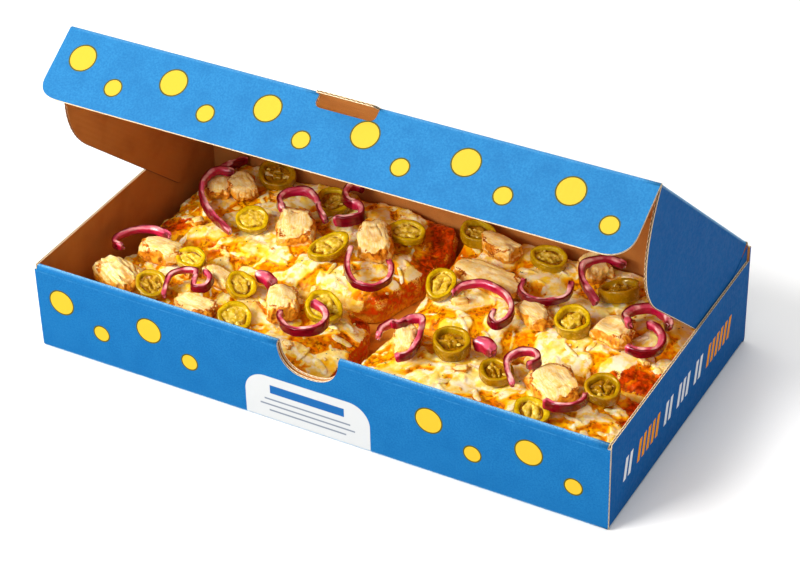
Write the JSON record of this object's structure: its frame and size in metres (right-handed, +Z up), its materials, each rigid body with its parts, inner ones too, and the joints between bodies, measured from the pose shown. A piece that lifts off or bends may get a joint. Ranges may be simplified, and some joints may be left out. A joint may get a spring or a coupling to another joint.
{
  "type": "boxed pizza slices",
  "caption": "Rectangular pizza slices with chicken, sliced peppers and onion in an open folding board box with a hinged lid.",
  "frame": {"origin": "middle of the box's footprint, on the surface it stands on", "axes": "+X along the front edge to the right, +Y from the front wall to the lid hinge, +Z up"},
  "size_m": [0.382, 0.2, 0.2011],
  "materials": {
    "board": "satin",
    "slice": "satin",
    "chicken": "matte",
    "jalapeno": "satin",
    "onion": "gloss"
  },
  "bodies": {
    "tray_with_pizza": {"tray": "board", "slice_back_left": "slice", "slice_front_left": "slice", "slice_back_right": "slice", "slice_front_right": "slice", "chicken_01": "chicken", "chicken_02": "chicken", "chicken_03": "chicken", "chicken_04": "chicken", "chicken_05": "chicken", "chicken_06": "chicken", "chicken_07": "chicken", "chicken_08": "chicken", "chicken_09": "chicken", "chicken_10": "chicken", "chicken_11": "chicken", "chicken_12": "chicken", "chicken_13": "chicken", "chicken_14": "chicken", "chicken_15": "chicken", "chicken_16": "chicken", "jalapeno_01": "jalapeno", "jalapeno_02": "jalapeno", "jalapeno_03": "jalapeno", "jalapeno_04": "jalapeno", "jalapeno_05": "jalapeno", "jalapeno_06": "jalapeno", "jalapeno_07": "jalapeno", "jalapeno_08": "jalapeno", "jalapeno_09": "jalapeno", "jalapeno_10": "jalapeno", "jalapeno_11": "jalapeno", "jalapeno_12": "jalapeno", "jalapeno_13": "jalapeno", "jalapeno_14": "jalapeno", "jalapeno_15": "jalapeno", "jalapeno_16": "jalapeno", "jalapeno_17": "jalapeno", "jalapeno_18": "jalapeno", "jalapeno_19": "jalapeno", "onion_01": "onion", "onion_02": "onion", "onion_03": "onion", "onion_04": "onion", "onion_05": "onion", "onion_06": "onion", "onion_07": "onion", "onion_08": "onion", "onion_09": "onion", "onion_10": "onion", "onion_11": "onion", "onion_12": "onion", "onion_13": "onion", "onion_14": "onion", "onion_15": "onion", "onion_16": "onion", "onion_17": "onion", "onion_18": "onion"},
    "lid": {"lid": "board"},
    "front_flap": {"lid_front_flap": "board"}
  },
  "joints": [
    {"name": "lid_hinge", "type": "hinge", "parent": "tray_with_pizza", "child": "lid", "pos_m": [0, 0.0992, 0.0716], "axis": [-1, 0, 0], "range_deg": [-41.4, 138]},
    {"name": "flap_fold", "type": "hinge", "parent": "lid", "child": "front_flap", "pos_m": [0, -0.04058, 0.19583], "axis": [-1, 0, 0], "range_deg": [-20.8, 69.2]}
  ],
  "couplings": [
    {"joint": "flap_fold", "follows": "lid_hinge", "ratio": 0.5}
  ]
}
